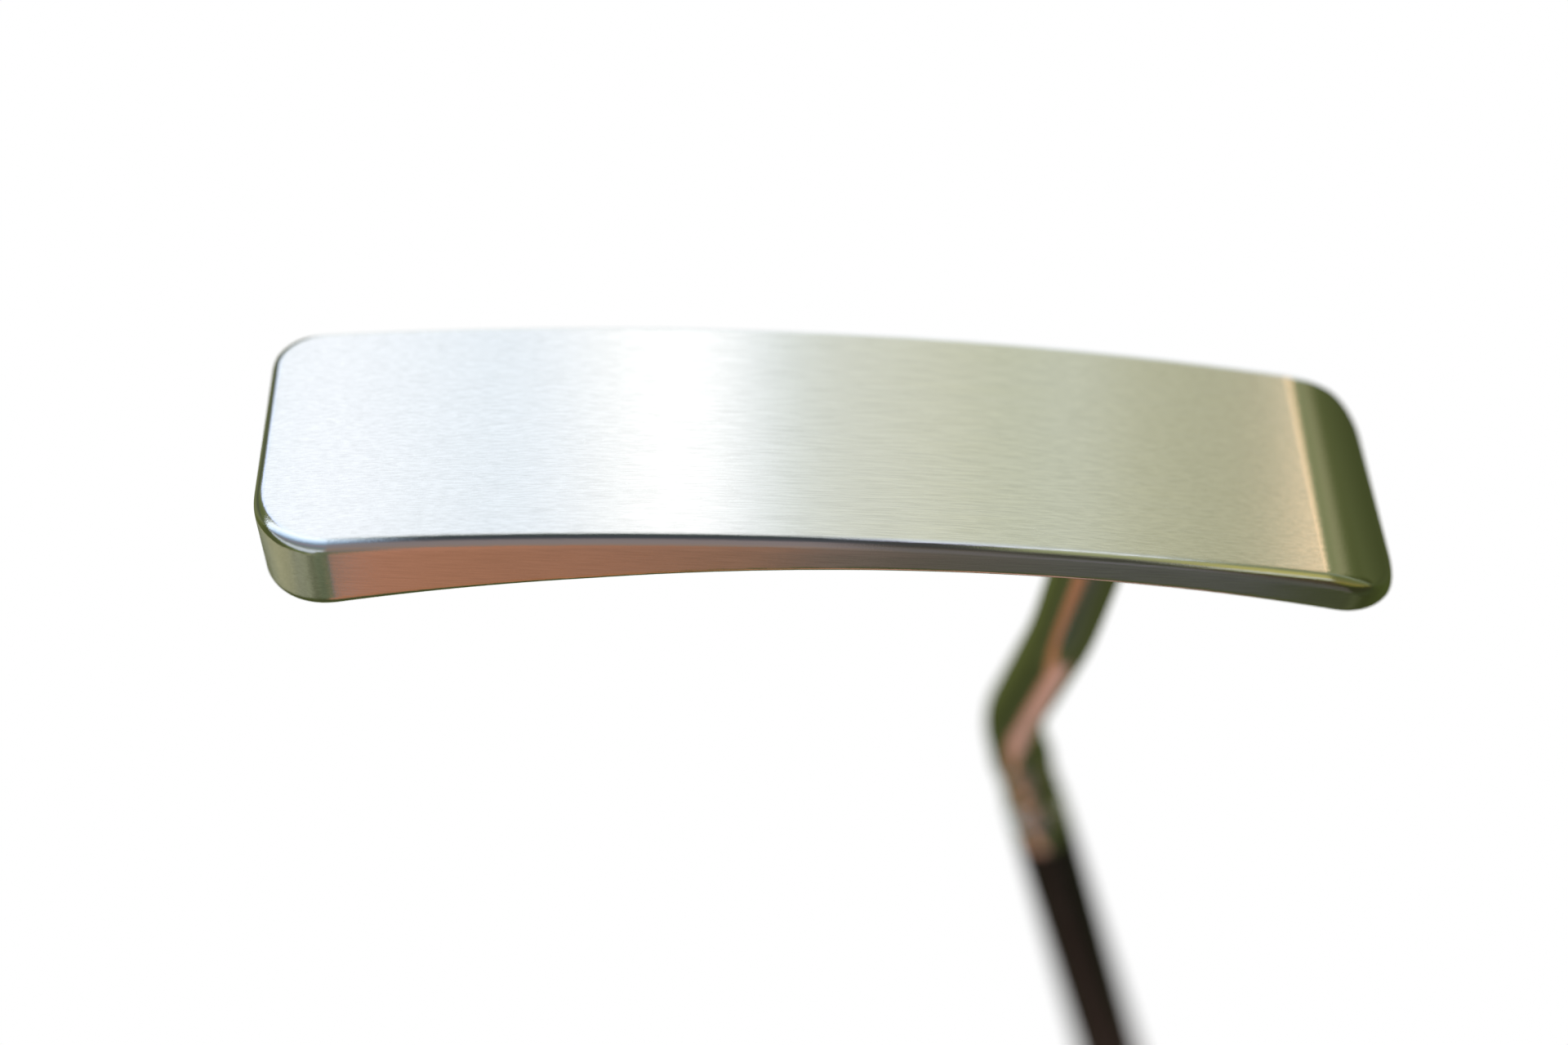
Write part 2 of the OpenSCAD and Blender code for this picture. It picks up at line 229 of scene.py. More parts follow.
# ---------------------------------------------------------------- lathe work
def neck_stations():
    """Centre, direction and radius of the neck from its tenon to the end of its spigot."""
    low_bend_z, knee_z, low_r, high_r = 45.0, 75.0, 40.0, 30.0
    up = np.array([0.0, 0.0, 1.0])
    knee_s = (knee_z - LINE_FOOT[2]) / AXIS[2]
    knee = LINE_FOOT + AXIS * knee_s
    low_knee = np.array([FOOT[0], FOOT[1], low_bend_z])
    lean = (knee - low_knee) / np.linalg.norm(knee - low_knee)

    def arc(corner, before, after, radius, count):
        turn = math.acos(before @ after)
        reach = radius * math.tan(turn / 2)
        start = corner - before * reach
        inward, _ = side_axes(before, after)
        out = []
        for i in range(count + 1):
            a = turn * i / count
            centre = start + before * radius * math.sin(a) + inward * radius * (1 - math.cos(a))
            out.append((centre, before * math.cos(a) + inward * math.sin(a), NECK_R))
        return out, reach

    low_arc, _ = arc(low_knee, up, lean, low_r, 16)
    high_arc, reach = arc(knee, lean, AXIS, high_r, 24)
    bottom = FOOT - up * TENON_DEPTH
    out = [(bottom, up, TENON_R - 0.5), (bottom, up, TENON_R), (FOOT, up, TENON_R), (FOOT, up, NECK_R)]
    out += low_arc + high_arc

    def ring(s, r):
        out.append((LINE_FOOT + AXIS * s, AXIS, r))

    start = knee_s + reach
    flare, waist_r = 0.15, COLLAR_R - 0.75
    for s in np.linspace(start + 0.5, WAIST_S - 1.2, 6):
        ring(s, NECK_R + flare * (s - start) / (WAIST_S - 1 - start))
    # each bead: its distance beyond the waist's start, the radius of its swell, its outer radius
    beads = [(1.0, 1.1, COLLAR_R - 0.2), (3.8, 1.6, COLLAR_R - 0.35),
             (9.0, 2.4, COLLAR_R - 0.35), (13.4, 1.1, COLLAR_R - 0.2)]
    for s in np.arange(WAIST_S - 1, COLLAR_S - 0.15, 0.1):
        r = NECK_R + flare if s < WAIST_S - 0.3 else waist_r
        for beyond, bead_r, outer in beads:
            swell = bead_r ** 2 - (s - WAIST_S - beyond) ** 2
            if swell > 0:
                r = max(r, outer - bead_r + math.sqrt(swell))
        ring(s, r)
    ring(COLLAR_S - 0.02, waist_r)
    edge = 0.3
    for i in range(5):
        a = math.pi / 2 * i / 4
        ring(COLLAR_S + edge * (1 - math.cos(a)), COLLAR_R - edge + edge * math.sin(a))
    ring(SHAFT_S - 0.2, COLLAR_R)
    ring(SHAFT_S - 0.02, COLLAR_R - 0.15)
    spigot_r, spigot_end = COLLAR_R - 0.95, SHAFT_S + 29.5
    for s, r in [(SHAFT_S - 0.02, spigot_r), (spigot_end - 1, spigot_r), (spigot_end, spigot_r - 1),
                 (spigot_end, 0.3)]:
        ring(s, r)
    return out


def build_neck(material):
    stations = neck_stations()
    count = 72
    turn = np.arange(count) / count * 2 * math.pi
    verts = []
    hint = np.array([1.0, 0.0, 0.0])
    for centre, direction, radius in stations:
        across, other = side_axes(direction, hint)
        hint = across
        verts.append(centre + radius * (np.cos(turn)[:, None] * across + np.sin(turn)[:, None] * other))
    verts = np.concatenate(verts)
    faces = ring_faces(len(stations), count)
    faces.append(tuple(range(count))[::-1])
    faces.append(tuple(range(len(verts) - count, len(verts))))
    sharpen(make_piece("neck_bent", verts, faces, material, "neck"))


def sharpen(piece, degrees=35):
    """Keeps real corners crisp on a smooth mesh."""
    piece.data.set_sharp_from_angle(angle=math.radians(degrees))


def around_axis(count):
    """Angles round the shaft's line, from its toe side, and the unit vectors that point to them."""
    across, other = side_axes(AXIS, np.array([1.0, 0.0, 0.0]))
    turn = np.arange(count) / count * 2 * math.pi
    return turn, np.cos(turn)[:, None] * across + np.sin(turn)[:, None] * other


def build_shaft(material):
    wall, middle_s, middle_r, butt_s, butt_r = 0.8, 220, 6.1, 480, 7.55
    bore = COLLAR_R - wall
    outer = [(SHAFT_S, COLLAR_R - 0.15), (SHAFT_S + 0.2, COLLAR_R)]
    outer += [(s, np.interp(s, (SHAFT_S, middle_s, butt_s), (COLLAR_R, middle_r, butt_r)))
              for s in np.linspace(SHAFT_S + 4, butt_s, 60)]
    outer += [(SHAFT_END, butt_r)]
    inner = [(SHAFT_END, butt_r - wall), (butt_s, butt_r - wall), (middle_s, middle_r - wall),
             (SHAFT_S + 45, bore + 0.35), (SHAFT_S + 33, bore), (SHAFT_S, bore)]
    profile = outer + inner
    count = 72
    _, circle = around_axis(count)
    verts = np.concatenate([LINE_FOOT + AXIS * s + r * circle for s, r in profile])
    faces = ring_faces(len(profile), count, closed=True)
    sharpen(make_piece("shaft_tube", verts, faces, material, "shaft"))


# ---------------------------------------------------------------- grip
FRONT_SOFT = 1.2            # width over which the flat front melts into the round back


def flat_front(turn, distance):
    """Distance from the shaft's line to a flat on its toe side; far away round the back."""
    facing = 0.05
    cosine = np.cos(turn)
    return np.where(cosine > facing, distance / np.maximum(cosine, facing), 99.0)


def grip_radius(turn, s, inset=0.0):
    """Distance from the shaft's line to the grip's skin: round back, pistol swelling, flat front."""
    clear = 0.02                # keeps the skin inside the CAD's
    half = GRIP_S + GRIP_LENGTH * 0.45
    most = GRIP_S + GRIP_LENGTH * 0.75
    body = np.interp(s, (GRIP_S, half, most, SHAFT_END - 8), (9.3, 11.4, 12.7, 13.0))
    swell_s, swell_r, shift, curve = SHAFT_END - 42, 12.0, 4.0, 300.0
    drop = (s - swell_s) ** 2
    pistol = max(swell_r - curve + math.sqrt(max(curve ** 2 - drop, 0)), 0.1)
    reach = np.maximum(pistol ** 2 - (shift * np.sin(turn)) ** 2, 0)
    lobe = -shift * np.cos(turn) + np.sqrt(reach)
    skin_r = np.maximum(body, lobe) - clear
    flat = np.interp(s, (GRIP_S, SHAFT_END), (8.7, 10.9)) - clear
    return blend_min(skin_r, flat_front(turn, flat), FRONT_SOFT) - inset


def grip_relief(turn, s):
    """Depth of the moulded pattern: ribs across the flat front, slanting grooves round the back."""
    rib_pitch, rib_depth, rib_edge = 3.2, 0.32, 0.52
    pitch, depth, half_width, edge, slope, middle = 5.0, 0.38, 0.55, 0.98, 9, 2.1
    fade = np.clip(min(s - GRIP_S - 14, SHAFT_END - 16 - s) / 6, 0, 1)
    angle = np.abs(np.mod(turn + math.pi, 2 * math.pi) - math.pi)
    front = np.clip((rib_edge - angle) / 0.05, 0, 1)
    ribs = 0.5 - 0.5 * math.cos(2 * math.pi * s / rib_pitch)
    around = np.clip((angle - edge) / 0.08, 0, 1)
    slant = np.abs(np.mod((s + slope * np.abs(angle - middle)) / pitch, 1) - 0.5) * pitch
    grooves = np.clip(1 - slant / half_width, 0, 1)
    return fade * (rib_depth * front * ribs ** 3 + depth * around * grooves)


def build_grip(material):
    count = 200
    turn, circle = around_axis(count)
    bore, lip, step = 7.8, 0.8, 0.4
    rows = []
    for i in range(5):
        a = math.pi / 2 * i / 4
        s = GRIP_S + lip * (1 - math.cos(a))
        rows.append((s, grip_radius(turn, GRIP_S, lip * (1 - math.sin(a)))))
    for s in np.arange(GRIP_S + 1.2, SHAFT_END - 0.2, step):
        rows.append((s, grip_radius(turn, s) - grip_relief(turn, s)))
    rows.append((SHAFT_END, grip_radius(turn, SHAFT_END)))
    rows.append((SHAFT_END, np.full(count, bore)))
    rows.append((GRIP_S, np.full(count, bore)))
    verts = np.concatenate([LINE_FOOT + AXIS * s + r[:, None] * circle for s, r in rows])
    sharpen(make_piece("grip_moulded", verts, ring_faces(len(rows), count, closed=True),
                       material, "grip"))


def build_cap(material):
    count = 160
    turn, circle = around_axis(count)
    cap_r, flat, vent, edge = 13.39, 10.87, 1.2, 1.2
    chamfer, vent_chamfer = 0.3, 0.25
    ring_from, ring_to, ring_pitch, ring_depth, rim = 1.6, 8.8, 1.8, 0.35, 2.4

    def outline(inset):
        return blend_min(np.full(count, cap_r - inset), flat_front(turn, flat - inset), FRONT_SOFT)

    rows = [(SHAFT_END, np.full(count, vent)), (SHAFT_END, outline(chamfer)),
            (SHAFT_END + chamfer, outline(0.0))]
    for i in range(7):
        a = math.pi / 2 * i / 6
        rows.append((CLUB_S - edge * (1 - math.sin(a)), outline(edge * (1 - math.cos(a)))))
    for inset in np.linspace(ring_from, ring_to, 37):
        wave = max(0.0, math.cos(2 * math.pi * (inset - ring_from) / ring_pitch)) ** 2
        rows.append((CLUB_S - (ring_depth * wave if inset > rim else 0.0), outline(inset)))
    rows.append((CLUB_S, np.full(count, vent + vent_chamfer)))
    rows.append((CLUB_S - vent_chamfer, np.full(count, vent)))
    verts = np.concatenate([LINE_FOOT + AXIS * s + r[:, None] * circle for s, r in rows])
    sharpen(make_piece("grip_end_cap", verts, ring_faces(len(rows), count, closed=True),
                       material, "grip_cap"), 50)


# ---------------------------------------------------------------- node helpers
def add(tree, kind, inputs=None, **settings):
    """A new shader node; inputs are values or sockets to link."""
    node = tree.nodes.new("ShaderNode" + kind)
    for key, value in settings.items():
        setattr(node, key, value)
    for key, value in (inputs or {}).items():
        if isinstance(value, bpy.types.NodeSocket):
            tree.links.new(value, node.inputs[key])
        else:
            node.inputs[key].default_value = value
    return node


def calc(tree, operation, *values):
    return add(tree, "Math", dict(enumerate(values)), operation=operation).outputs[0]


def smooth(tree, value, start, end):
    """0 below start, 1 above end, smooth between; start may be the larger."""
    low, high, out_low, out_high = (start, end, 0.0, 1.0) if start < end else (end, start, 1.0, 0.0)
    return add(tree, "MapRange", {0: value, 1: low, 2: high, 3: out_low, 4: out_high},
               interpolation_type="SMOOTHSTEP").outputs[0]


def mix_colour(tree, factor, first, second):
    return add(tree, "Mix", {0: factor, 6: first, 7: second}, data_type="RGBA").outputs[2]


def mix_value(tree, factor, first, second):
    return add(tree, "Mix", {0: factor, 2: first, 3: second}, data_type="FLOAT").outputs[0]


def linear(red, green, blue, gain):
    """A colour given as 0-255 display values, as a linear RGBA tuple."""
    def one(v):
        v = v / 255
        return (v / 12.92 if v <= 0.04045 else ((v + 0.055) / 1.055) ** 2.4) * gain
    return (one(red), one(green), one(blue), 1.0)


def ramp(tree, value, gain, stops, low=0.0, high=1.0):
    """A colour by value, from low to high; a stop is (value, red, green, blue) or (value, ready colour)."""
    share = add(tree, "MapRange", {0: value, 1: low, 2: high}).outputs[0]
    node = add(tree, "ValToRGB", {0: share})
    elements = node.color_ramp.elements
    while len(elements) < len(stops):
        elements.new(0.5)
    for element, (place, *tone) in zip(elements, stops):
        element.position = (place - low) / (high - low)
        element.color = linear(*tone, gain) if len(tone) == 3 else tone[0]
    return node.outputs[0]


def new_material(name, base, roughness, metallic=0.0):
    material = bpy.data.materials.new(name)
    material.use_nodes = True
    shader = material.node_tree.nodes["Principled BSDF"]
    shader.inputs["Base Color"].default_value = base
    shader.inputs["Roughness"].default_value = roughness
    shader.inputs["Metallic"].default_value = metallic
    material.diffuse_color = base
    return material, material.node_tree, shader


def place_mm(tree):
    """The surface point in millimetres, and its parts."""
    point = add(tree, "NewGeometry").outputs["Position"]
    scaled = add(tree, "VectorMath", {0: point, "Scale": MM}, operation="SCALE").outputs[0]
    return scaled, add(tree, "SeparateXYZ", {0: scaled}).outputs


def noise(tree, vector, scale, stretch=(1, 1, 1), detail=3.0, rough=0.5):
    if stretch != (1, 1, 1):
        vector = add(tree, "VectorMath", {0: vector, 1: stretch}, operation="MULTIPLY").outputs[0]
    inputs = {"Vector": vector, "Scale": scale, "Detail": detail, "Roughness": rough}
    return add(tree, "TexNoise", inputs).outputs[0]


# ---------------------------------------------------------------- materials
STEEL = (0.86, 0.86, 0.855, 1.0)
POLISHED = 0.06             # roughness of the head where it isn't brushed
GRAIN_DEPTH = 0.0002        # depth of every bump, in metres


def head_steel():
    """Brushed along the head on its sole and walls, polished on its rolled edges and heel relief."""
    material, tree, shader = new_material("head_steel", STEEL, 0.26, 1.0)
    point, (x, y, z) = place_mm(tree)
    normal = add(tree, "NewGeometry").outputs["Normal"]
    _, ny, nz = add(tree, "SeparateXYZ", {0: normal}).outputs
    fine = noise(tree, point, 1.0, (0.22, 8.0, 8.0), 3.0, 0.6)
    broad = noise(tree, point, 1.0, (0.03, 1.2, 1.2), 3.0)
    specks = noise(tree, point, 9.0, (1, 1, 1), 1.0)

    flat = calc(tree, "MAXIMUM", calc(tree, "ABSOLUTE", nz), calc(tree, "ABSOLUTE", ny))
    sole = smooth(tree, nz, -0.9, -0.96)
    corner = smooth(tree, calc(tree, "ABSOLUTE", nz), 0.35, 0.12)
    brushed = calc(tree, "MAXIMUM", smooth(tree, flat, 0.955, 0.985), corner)
    past = calc(tree, "SUBTRACT", calc(tree, "MULTIPLY", x, -1.0),
                calc(tree, "ADD", calc(tree, "MULTIPLY", y, END_SLOPE), MIDDLE_LENGTH - HEEL_RELIEF))
    relief = calc(tree, "MULTIPLY", smooth(tree, past, -0.15, 0.15), smooth(tree, nz, 0.0, -0.2))
    brushed = calc(tree, "MULTIPLY", brushed, calc(tree, "SUBTRACT", 1.0, relief))

    near_relief = calc(tree, "MULTIPLY", smooth(tree, past, -4.0, 0.0), sole)
    coarse = mix_value(tree, sole, POLISHED, 0.15)
    coarse = calc(tree, "ADD", coarse, calc(tree, "MULTIPLY", broad, 0.07))
    rough = mix_value(tree, brushed, POLISHED, coarse)
    tint = mix_colour(tree, calc(tree, "MULTIPLY", brushed, smooth(tree, fine, 0.3, 0.75)),
                      (0.93, 0.93, 0.925, 1.0), (0.78, 0.78, 0.77, 1.0))
    # Painted glints: small specks where the brushed steel's base colour is lighter, with more of them on the
    # sole just before the heel relief.
    more = calc(tree, "MULTIPLY", near_relief, 0.12)
    painted_glints = smooth(tree, calc(tree, "ADD", specks, more), 0.64, 0.74)
    tint = mix_colour(tree, calc(tree, "MULTIPLY", brushed, painted_glints), tint, (0.99, 0.99, 0.98, 1.0))
    height = calc(tree, "ADD", calc(tree, "MULTIPLY", fine, 0.5), calc(tree, "MULTIPLY", specks, 0.15))

    away = calc(tree, "POWER", calc(tree, "ADD", calc(tree, "POWER", x, 2.0),
                                    calc(tree, "POWER", calc(tree, "ADD", z, 70.0), 2.0)), 0.5)
    arcs = calc(tree, "SINE", calc(tree, "MULTIPLY", away, 7.0))
    milled = smooth(tree, ny, 0.97, 0.99)
    height = mix_value(tree, milled, height, calc(tree, "MULTIPLY", arcs, 0.35))
    bump = add(tree, "Bump", {"Strength": 0.10, "Distance": GRAIN_DEPTH, "Height": height}).outputs[0]
    tree.links.new(rough, shader.inputs["Roughness"])
    tree.links.new(tint, shader.inputs["Base Color"])
    tree.links.new(bump, shader.inputs["Normal"])
    tree.links.new(calc(tree, "MULTIPLY", brushed, 0.9), shader.inputs["Anisotropic"])
    across = add(tree, "CombineXYZ", {0: 0.0, 1: 1.0, 2: 0.02}).outputs[0]
    upright = add(tree, "CombineXYZ", {0: 0.0, 1: 0.0, 2: 1.0}).outputs[0]
    wall = smooth(tree, calc(tree, "ABSOLUTE", nz), 0.75, 0.65)
    tangent = add(tree, "Mix", {0: wall, 4: across, 5: upright}, data_type="VECTOR").outputs[1]
    tree.links.new(tangent, shader.inputs["Tangent"])
    return material


def polished_steel(name, rough=0.05):
    """Polished rod with faint turning marks and small dull patches."""
    material, tree, shader = new_material(name, (0.82, 0.82, 0.80, 1.0), rough, 1.0)
    point, _ = place_mm(tree)
    broad = noise(tree, point, 0.35, (1, 1, 1), 4.0)
    fine = noise(tree, point, 3.0, (1, 1, 4.0), 3.0)
    level = calc(tree, "ADD", rough, calc(tree, "MULTIPLY", smooth(tree, broad, 0.45, 0.75), 0.08))
    tree.links.new(level, shader.inputs["Roughness"])
    bump = add(tree, "Bump", {"Strength": 0.03, "Distance": GRAIN_DEPTH, "Height": fine}).outputs[0]
    tree.links.new(bump, shader.inputs["Normal"])
    tint = mix_colour(tree, broad, (0.86, 0.86, 0.85, 1.0), (0.78, 0.78, 0.755, 1.0))
    tree.links.new(tint, shader.inputs["Base Color"])
    return material


def shaft_black():
    """Satin black coating with a fine lengthwise grain and a few rub marks."""
    material, tree, shader = new_material("shaft_black", (0.012, 0.011, 0.009, 1.0), 0.3, 0.0)
    shader.inputs["Specular IOR Level"].default_value = 0.05
    point, _ = place_mm(tree)
    grain = noise(tree, point, 6.0, (1, 1, 0.1), 3.0)
    rubs = noise(tree, point, 0.12, (1, 1, 1), 5.0, 0.6)
    tint = mix_colour(tree, smooth(tree, rubs, 0.5, 0.75),
                      (0.006, 0.005, 0.004, 1.0), (0.012, 0.010, 0.008, 1.0))
    tree.links.new(tint, shader.inputs["Base Color"])
    level = calc(tree, "ADD", 0.22, calc(tree, "MULTIPLY", rubs, 0.2))
    tree.links.new(level, shader.inputs["Roughness"])
    bump = add(tree, "Bump", {"Strength": 0.05, "Distance": GRAIN_DEPTH, "Height": grain}).outputs[0]
    tree.links.new(bump, shader.inputs["Normal"])
    return material


def plain_material(name, dark, light, rough, scale, strength, metallic=0.0):
    """Moulded, cast or woven stuff: two close tones and a fine grain."""
    material, tree, shader = new_material(name, light, rough, metallic)
    point, _ = place_mm(tree)
    tone = noise(tree, point, scale * 0.15, (1, 1, 1), 4.0)
    grain = noise(tree, point, scale, (1, 1, 1), 2.0, 0.7)
    tree.links.new(mix_colour(tree, tone, dark, light), shader.inputs["Base Color"])
    level = calc(tree, "ADD", rough - 0.08, calc(tree, "MULTIPLY", tone, 0.16))
    tree.links.new(level, shader.inputs["Roughness"])
    bump = add(tree, "Bump", {"Strength": strength, "Distance": 0.0003, "Height": grain}).outputs[0]
    tree.links.new(bump, shader.inputs["Normal"])
    return material


steel = head_steel()
points, quads, normals = skin(head_field, head_lo, head_hi, 0.35)
make_piece("head_milled", points, quads, steel, "head", normals)
build_neck(polished_steel("neck_steel"))
build_shaft(shaft_black())
rubber = plain_material("grip_rubber", (0.012, 0.012, 0.012, 1), (0.022, 0.022, 0.021, 1),
                        0.62, 5.0, 0.35)
build_grip(rubber)
build_cap(rubber)
CARRIED = {
    "neck_weld": polished_steel("weld_steel", 0.12),
    "shaft_bond": plain_material("epoxy", (0.25, 0.20, 0.11, 1), (0.33, 0.28, 0.17, 1), 0.3, 2.0, 0.1),
    "grip_tape": plain_material("tape", (0.62, 0.55, 0.40, 1), (0.72, 0.66, 0.50, 1), 0.85, 4.0, 0.5),
    "sight_line": plain_material("line_paint", (0.80, 0.80, 0.76, 1), (0.86, 0.86, 0.83, 1),
                                 0.25, 1.5, 0.08),
}
for node, material in CARRIED.items():
    carried = frame["nodes"][node]
    carried.data.materials.clear()
    carried.data.materials.append(material)


# ---------------------------------------------------------------- surroundings
def build_world():
    """White to the camera. The steel sees sky, lawn and brick, placed by the reflected ray's direction:
    rx is how far it leans to the toe (1) or the heel (-1), around its turn about the head's length."""
    world = bpy.data.worlds.new("studio")
    bpy.context.scene.world = world
    world.use_nodes = True
    tree = world.node_tree
    tree.nodes.clear()
    direction = add(tree, "TexCoord").outputs["Generated"]
    rx, ry, rz = add(tree, "SeparateXYZ", {0: direction}).outputs
    around = calc(tree, "ADD", calc(tree, "DIVIDE", calc(tree, "ARCTAN2", rz, ry), 2 * math.pi), 0.5)
    gain = 1.22
    white, pale = linear(254, 255, 255, 1.4), (214, 220, 222)
    below = ramp(tree, rx, gain, [
        (-1.0, 50, 55, 25), (-0.80, 66, 72, 38), (-0.74, 84, 90, 54), (-0.70, 120, 120, 86),
        (-0.65, 124, 126, 90), (-0.61, 106, 112, 74), (-0.57, 140, 142, 108),
        (-0.556, 252, 218, 174), (-0.538, 252, 220, 178), (-0.525, 205, 192, 160),
        (-0.50, 172, 167, 138), (-0.46, 167, 166, 137), (-0.38, 177, 177, 149),
        (-0.33, 190, 193, 174), (-0.27, 184, 187, 163), (-0.22, 194, 195, 172),
        (-0.10, 206, 209, 197), (-0.055, 213, 220, 216), (-0.03, 233, 239, 241),
        (-0.01, 246, 249, 250), (0.04, white), (0.10, 250, 252, 252), (0.15, 238, 244, 250),
        (0.20, 229, 238, 246), (0.27, 236, 243, 250), (0.36, 244, 248, 254), (0.50, 234, 244, 252),
        (0.60, 206, 220, 250), (0.66, 120, 124, 120), (0.72, 96, 103, 68), (0.85, 84, 92, 56),
    ], -1.0, 1.0)
    behind = ramp(tree, rx, gain, [
        (-1.0, 49, 56, 30), (-0.42, 60, 64, 42), (-0.25, 66, 70, 52), (0.18, 58, 64, 48),
        (0.20, 118, 122, 128), (0.24, 104, 114, 84), (0.36, 96, 104, 76), (0.46, 128, 130, 96),
        (0.58, 92, 100, 60), (1.0, 70, 78, 38),
    ], -1.0, 1.0)
    overhead = [
        (0.46, *pale), (0.60, *pale), (0.625, 92, 98, 56), (0.66, 82, 88, 48), (0.72, 66, 72, 38),
        (0.76, 58, 64, 36), (0.84, 72, 76, 50),
    ]
    toe_ring = ramp(tree, around, gain, [
        (0.0, 112, 104, 98), (0.045, 130, 110, 98), (0.07, 122, 111, 108), (0.155, 118, 109, 108),
        (0.18, 90, 85, 88), (0.20, 68, 70, 74), (0.235, 54, 58, 62), (0.275, 62, 68, 68),
        (0.298, 82, 90, 84), (0.308, 140, 148, 144), (0.318, white), (0.42, white),
    ] + overhead + [(0.92, 100, 98, 90), (0.98, 112, 104, 98)])
    near_ring = ramp(tree, around, gain, [
        (0.0, 89, 85, 79), (0.08, 93, 89, 87), (0.125, 80, 75, 68), (0.145, 59, 56, 51),
        (0.20, 54, 56, 54), (0.255, 66, 64, 64), (0.268, 176, 180, 200), (0.29, 205, 213, 218),
        (0.335, 226, 236, 240), (0.35, 200, 206, 200), (0.42, white),
    ] + overhead + [(0.92, 85, 80, 72)])
    mid_ring = ramp(tree, around, gain, [
        (0.0, 82, 82, 78), (0.03, 91, 89, 90), (0.07, 84, 84, 80), (0.085, 62, 62, 54),
        (0.14, 58, 58, 50), (0.165, 100, 101, 84), (0.21, 136, 141, 102), (0.25, 156, 160, 134),
        (0.268, 180, 184, 172), (0.28, 226, 232, 236), (0.30, 196, 202, 196), (0.32, 140, 144, 124),
        (0.345, 134, 138, 122), (0.42, *pale),
    ] + overhead + [(0.92, 80, 80, 74)])
    heel_ring = ramp(tree, around, gain, [
        (0.0, 56, 51, 36), (0.05, 66, 58, 42), (0.08, 62, 56, 40), (0.10, 104, 101, 60),
        (0.118, 150, 155, 132), (0.15, 180, 180, 158), (0.172, 164, 158, 98), (0.22, 156, 152, 90),
        (0.25, 132, 132, 88), (0.27, 112, 118, 84), (0.32, 128, 130, 100), (0.345, 166, 168, 148),
        (0.42, *pale),
    ] + overhead + [(0.92, 72, 70, 60)])
    heel_far = ramp(tree, around, gain, [
        (0.0, 44, 45, 25), (0.03, 46, 48, 26), (0.065, 80, 82, 38), (0.10, 118, 108, 52),
        (0.145, 104, 102, 60), (0.20, 93, 96, 55), (0.25, 93, 98, 57), (0.29, 106, 116, 94),
        (0.34, 132, 134, 102), (0.385, 122, 122, 88), (0.41, 84, 90, 54), (0.48, 70, 76, 44),
        (0.56, 60, 66, 36), (0.60, 66, 72, 42), (0.66, 60, 68, 32), (0.95, 46, 48, 28),
    ])
    toe_far = ramp(tree, around, gain, [
        (0.0, 168, 174, 176), (0.03, 120, 124, 118), (0.085, 102, 112, 118), (0.12, 126, 116, 124),
        (0.155, 112, 128, 142), (0.21, 172, 196, 224), (0.27, 224, 240, 254), (0.36, white),
        (0.385, 206, 220, 250), (0.405, 120, 124, 140), (0.43, 62, 68, 54), (0.56, 92, 97, 66),
        (0.62, 100, 106, 74), (0.66, 84, 90, 50), (0.72, 66, 72, 38), (0.86, 72, 76, 50),
        (0.91, 120, 126, 120), (0.94, 176, 184, 190),
    ])
    rest = toe_ring
    for start, end, ring in ((-0.08, -0.18, near_ring), (-0.22, -0.33, mid_ring),
                             (-0.38, -0.50, heel_ring), (-0.56, -0.66, heel_far), (0.30, 0.42, toe_far)):
        rest = mix_colour(tree, smooth(tree, rx, start, end), rest, ring)
    from_below = calc(tree, "MULTIPLY", smooth(tree, around, 0.318, 0.330),
                      smooth(tree, around, 0.446, 0.416))
    from_behind = calc(tree, "MULTIPLY", smooth(tree, around, 0.83, 0.845),
                       smooth(tree, around, 0.905, 0.89))
    seen = mix_colour(tree, from_below, rest, below)
    seen = mix_colour(tree, from_behind, seen, behind)
    leaves = add(tree, "TexNoise", {"Vector": direction, "Scale": 5.0, "Detail": 4.0}).outputs[0]
    dapple = calc(tree, "ADD", 0.45, calc(tree, "MULTIPLY", leaves, 1.1))
    shade = mix_value(tree, smooth(tree, rz, 0.3, 0.6), 1.0, dapple)
    seen = add(tree, "VectorMath", {0: seen, "Scale": shade}, operation="SCALE").outputs[0]
    path = add(tree, "LightPath").outputs
    seen = mix_colour(tree, path["Is Camera Ray"], seen, (1.0, 1.0, 1.0, 1.0))
    seen = mix_colour(tree, path["Is Diffuse Ray"], seen, (0.9, 0.92, 0.94, 1.0))
    background = add(tree, "Background", {"Color": seen, "Strength": 1.0})
    output = add(tree, "OutputWorld")
    tree.links.new(background.outputs[0], output.inputs[0])


def build_card(name, uneven, stations, stops):
    """A curved card round the club, seen only in reflections; stations are (angle, low x, high x)."""
    reach, centre_z, gain = 205.0, 20.0, 1.16
    verts, faces = [], []
    for angle, low, high in stations:
        a = math.radians(angle)
        for x in (low, high):
            verts.append((x / MM, reach * math.cos(a) / MM, (centre_z + reach * math.sin(a)) / MM))
    for i in range(len(stations) - 1):
        faces.append((2 * i, 2 * i + 1, 2 * i + 3, 2 * i + 2))
    mesh = bpy.data.meshes.new(name)
    mesh.from_pydata(verts, [], faces)
    material = bpy.data.materials.new(name)
    material.use_nodes = True
    tree = material.node_tree
    tree.nodes.clear()
    point, (x, _, _) = place_mm(tree)
    colour = ramp(tree, x, gain, stops, stops[0][0], stops[-1][0])
    patches = smooth(tree, noise(tree, point, 0.055, (1, 1, 1), 3.0, 0.6), 0.32, 0.68)
    strength = mix_value(tree, patches, 1 - uneven, 1 + uneven)
    glow = add(tree, "Emission", {"Color": colour, "Strength": strength})
    output = add(tree, "OutputMaterial")
    tree.links.new(glow.outputs[0], output.inputs[0])
    mesh.materials.append(material)
    card = bpy.data.objects.new(name, mesh)
    bpy.context.scene.collection.objects.link(card)
    card.visible_camera = card.visible_diffuse = card.visible_shadow = False


